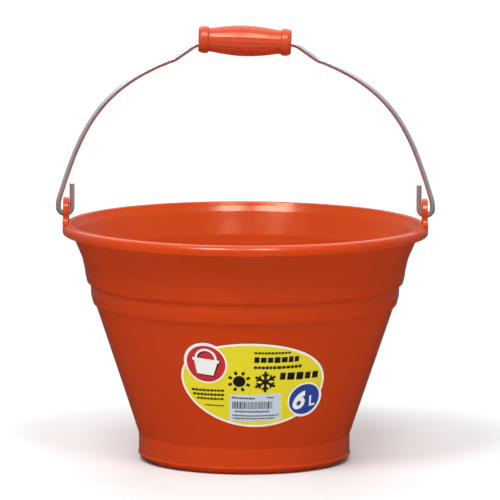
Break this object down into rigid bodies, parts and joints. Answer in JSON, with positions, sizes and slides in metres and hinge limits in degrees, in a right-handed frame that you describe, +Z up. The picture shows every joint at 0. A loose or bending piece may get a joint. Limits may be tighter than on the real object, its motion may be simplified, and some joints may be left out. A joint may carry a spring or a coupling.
{
  "type": "bucket",
  "caption": "Round tapered plastic bucket with a rolled rim, two belts, side lugs, a hooked wire bail that swings and a loose barrel grip.",
  "frame": {"origin": "on the floor, under the centre of the bucket", "axes": "+Z up along the bucket's axis; X along the bail's hinge axis, through both lugs; the label faces -Y"},
  "size_m": [0.2948, 0.284, 0.339],
  "materials": {
    "bucket_plastic": "injection-moulded polyethylene, orange-red, softly glossy outside and in",
    "label_film": "printed self-adhesive film, mainly yellow with a white edge, glossy",
    "bail_aluminium": "drawn aluminium wire, satin",
    "grip_plastic": "injection-moulded polyethylene, orange-red, semi-gloss, shallow flutes"
  },
  "bodies": {
    "bucket": {"bucket_shell": "bucket_plastic", "label": "label_film"},
    "bail": {"bail_wire": "bail_aluminium"},
    "grip": {"grip": "grip_plastic"}
  },
  "joints": [
    {"name": "bail_swing", "type": "hinge", "parent": "bucket", "child": "bail", "pos_m": [0, 0, 0.1915], "axis": [1, 0, 0], "range_deg": [-87, 87]},
    {"name": "grip_spin", "type": "hinge", "parent": "bail", "child": "grip", "pos_m": [0, 0, 0.327], "axis": [1, 0, 0], "continuous": true}
  ]
}
